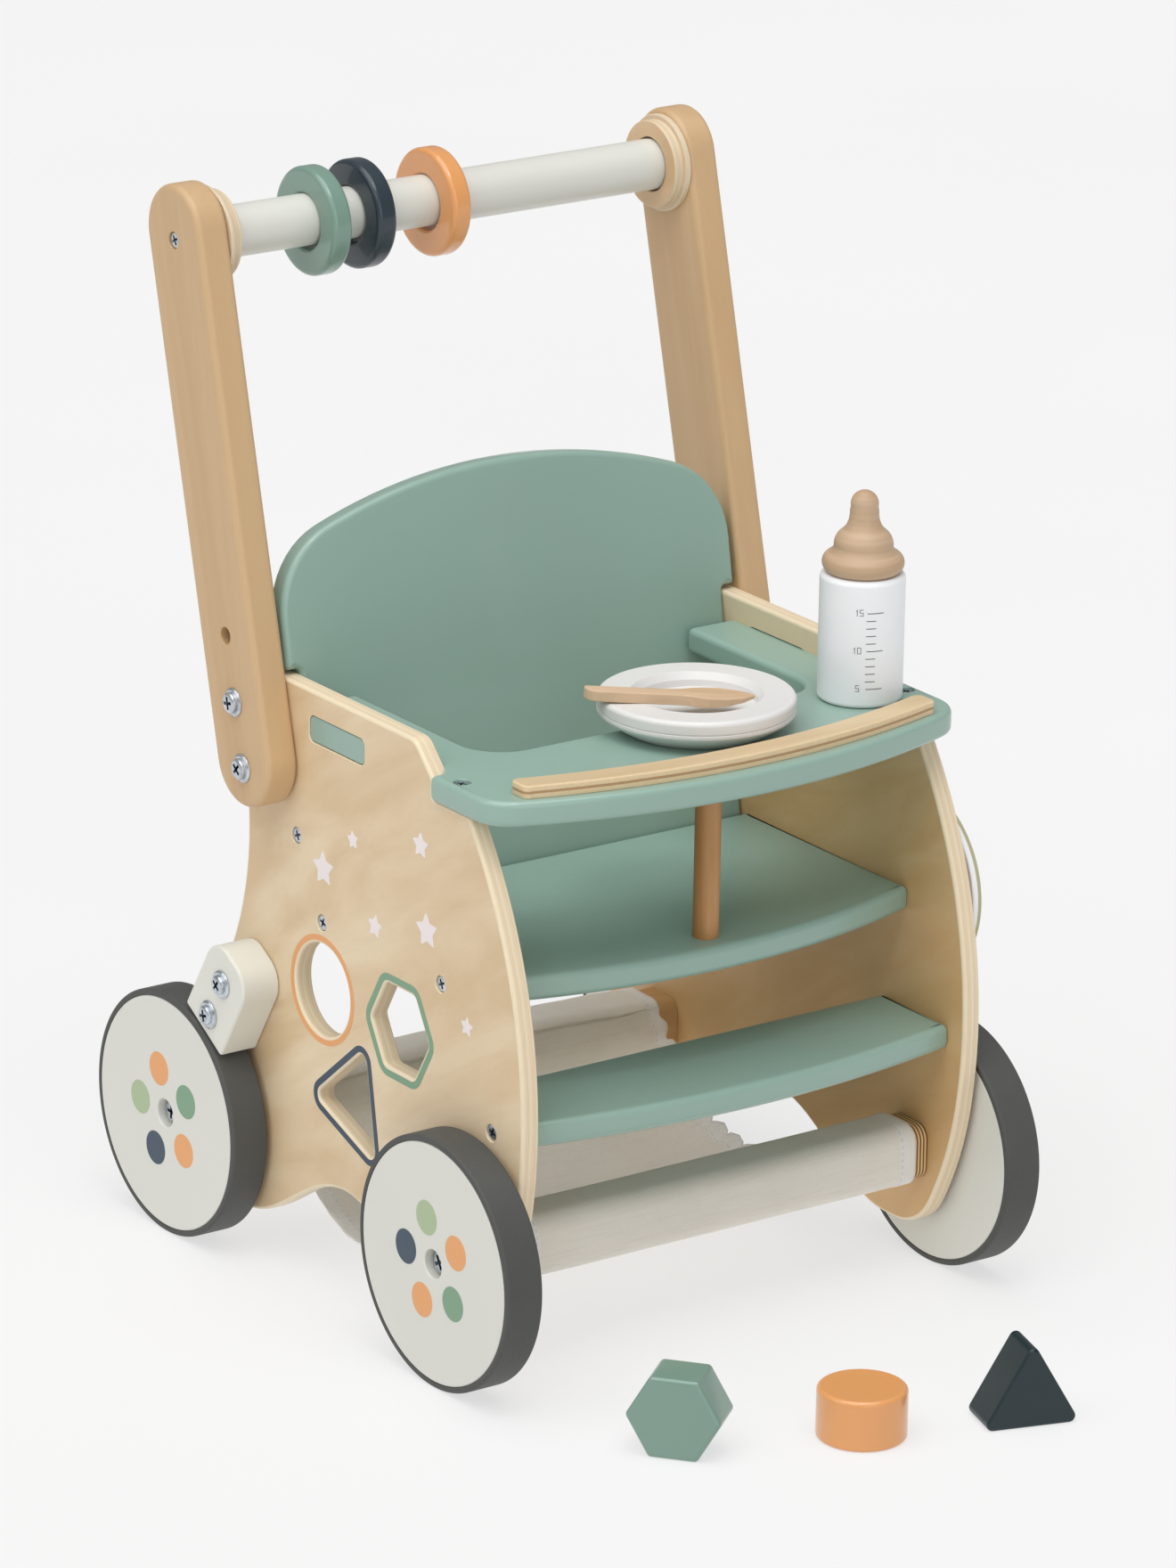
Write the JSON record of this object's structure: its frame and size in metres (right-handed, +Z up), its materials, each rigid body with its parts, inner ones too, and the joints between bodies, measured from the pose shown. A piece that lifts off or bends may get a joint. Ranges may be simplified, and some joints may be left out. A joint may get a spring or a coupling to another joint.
{
  "type": "baby walker",
  "caption": "Wooden push walker shaped as a doll's high chair on wheels, with a tray, shape-sorter side, cloth basket and handlebar.",
  "frame": {"origin": "on the floor, under the middle of the box that holds the walker and the three loose blocks in front of it", "axes": "+X to the walker's right, +Y towards the pushing child, +Z up"},
  "size_m": [0.2998, 0.47, 0.503],
  "materials": {
    "panel_ply": "clear matt lacquer on birch-faced plywood, three to four plies on the edge",
    "bare_ply": "sanded plywood, plies showing on the ends",
    "rail_ply": "bent plywood strip, light faces over a dark core",
    "sage_board": "satin sage-green paint on fibreboard",
    "beech": "clear matt lacquer on solid beech",
    "toy_beech": "waxed beech",
    "canvas": "unbleached woven cotton",
    "bar_cream": "satin cream paint",
    "cream_paint": "satin warm-white paint",
    "tyre_rubber": "matt grey-black rubber",
    "sage_gloss": "gloss sage-green paint",
    "navy_gloss": "gloss navy paint",
    "orange_gloss": "gloss soft-orange paint",
    "disc_paint": "satin paint, white face and olive-beige rim",
    "white_paint": "satin white paint",
    "zinc_steel": "bright zinc plate"
  },
  "bodies": {
    "walker_frame": {"side_panel_left": "panel_ply", "side_panel_right": "panel_ply", "backrest": "sage_board", "seat_board": "sage_board", "footrest_board": "sage_board", "tray": "sage_board", "tray_rail": "rail_ply", "crotch_post": "beech", "front_crossbar": "bare_ply", "rear_crossbar": "bare_ply", "basket_sling": "canvas", "handle_arm_left": "beech", "handle_arm_right": "beech", "handlebar": "bar_cream", "handle_collar_left": "bare_ply", "handle_collar_right": "bare_ply", "handle_bolts": "zinc_steel", "handle_cup_washers": "zinc_steel", "handle_nuts": "zinc_steel", "handlebar_screws": "zinc_steel", "panel_screws_left": "zinc_steel", "panel_screws_right": "zinc_steel", "tray_screws": "zinc_steel", "axle_bolts": "zinc_steel", "axle_bushes": "zinc_steel", "axle_washers": "zinc_steel", "front_axle_inserts": "zinc_steel", "rear_axle_nuts": "zinc_steel", "brake_screws": "zinc_steel", "brake_cup_washers": "zinc_steel", "activity_disc_screw": "zinc_steel", "activity_disc_spacer": "beech"},
    "wheel_front_left": {"wheel_disc_front_left": "cream_paint", "tyre_front_left": "tyre_rubber"},
    "wheel_front_right": {"wheel_disc_front_right": "cream_paint", "tyre_front_right": "tyre_rubber"},
    "wheel_rear_left": {"wheel_disc_rear_left": "cream_paint", "tyre_rear_left": "tyre_rubber"},
    "wheel_rear_right": {"wheel_disc_rear_right": "cream_paint", "tyre_rear_right": "tyre_rubber"},
    "brake_left": {"brake_block_left": "cream_paint"},
    "brake_right": {"brake_block_right": "cream_paint"},
    "sliding_ring_green": {"ring_green": "sage_gloss"},
    "sliding_ring_navy": {"ring_navy": "navy_gloss"},
    "sliding_ring_orange": {"ring_orange": "orange_gloss"},
    "spin_disc": {"activity_disc": "disc_paint"},
    "bottle": {"bottle_body": "white_paint", "bottle_teat": "toy_beech"},
    "dish": {"plate": "white_paint"},
    "cutlery": {"knife": "toy_beech"},
    "hexagon_piece": {"block_hexagon": "sage_gloss"},
    "cylinder_piece": {"block_cylinder": "orange_gloss"},
    "triangle_piece": {"block_triangle": "navy_gloss"}
  },
  "joints": [
    {"name": "wheel_front_left_roll", "type": "hinge", "parent": "walker_frame", "child": "wheel_front_left", "pos_m": [-0.139, -0.04607, 0.059], "axis": [1, 0, 0], "continuous": true},
    {"name": "wheel_front_right_roll", "type": "hinge", "parent": "walker_frame", "child": "wheel_front_right", "pos_m": [0.139, -0.04607, 0.059], "axis": [1, 0, 0], "continuous": true},
    {"name": "wheel_rear_left_roll", "type": "hinge", "parent": "walker_frame", "child": "wheel_rear_left", "pos_m": [-0.139, 0.17593, 0.059], "axis": [1, 0, 0], "continuous": true},
    {"name": "wheel_rear_right_roll", "type": "hinge", "parent": "walker_frame", "child": "wheel_rear_right", "pos_m": [0.139, 0.17593, 0.059], "axis": [1, 0, 0], "continuous": true},
    {"name": "brake_left_adjust", "type": "slide", "parent": "walker_frame", "child": "brake_left", "axis": [0, -0.5113, 0.8594], "range_m": [0, 0.003]},
    {"name": "brake_right_adjust", "type": "slide", "parent": "walker_frame", "child": "brake_right", "axis": [0, -0.5113, 0.8594], "range_m": [0, 0.003]},
    {"name": "ring_green_slide", "type": "slide", "parent": "walker_frame", "child": "sliding_ring_green", "axis": [1, 0, 0], "range_m": [-0.0455, 0.009]},
    {"name": "ring_navy_slide", "type": "slide", "parent": "walker_frame", "child": "sliding_ring_navy", "axis": [1, 0, 0], "range_m": [-0.0045, 0.02]},
    {"name": "ring_orange_slide", "type": "slide", "parent": "walker_frame", "child": "sliding_ring_orange", "axis": [1, 0, 0], "range_m": [-0.0103, 0.1165]},
    {"name": "activity_disc_spin", "type": "hinge", "parent": "walker_frame", "child": "spin_disc", "pos_m": [0.133, -0.02657, 0.1813], "axis": [1, 0, 0], "continuous": true},
    {"name": "bottle_lift", "type": "slide", "parent": "walker_frame", "child": "bottle", "axis": [0, 0, 1], "range_m": [0, 0.15]},
    {"name": "plate_lift", "type": "slide", "parent": "walker_frame", "child": "dish", "axis": [0, 0, 1], "range_m": [0, 0.1]},
    {"name": "knife_lift", "type": "slide", "parent": "dish", "child": "cutlery", "axis": [0, 0, 1], "range_m": [0, 0.05]},
    {"name": "block_hexagon_lift", "type": "slide", "parent": "walker_frame", "child": "hexagon_piece", "axis": [0, 0, 1], "range_m": [0, 0.1]},
    {"name": "block_cylinder_lift", "type": "slide", "parent": "walker_frame", "child": "cylinder_piece", "axis": [0, 0, 1], "range_m": [0, 0.1]},
    {"name": "block_triangle_lift", "type": "slide", "parent": "walker_frame", "child": "triangle_piece", "axis": [0, 0, 1], "range_m": [0, 0.1]}
  ]
}
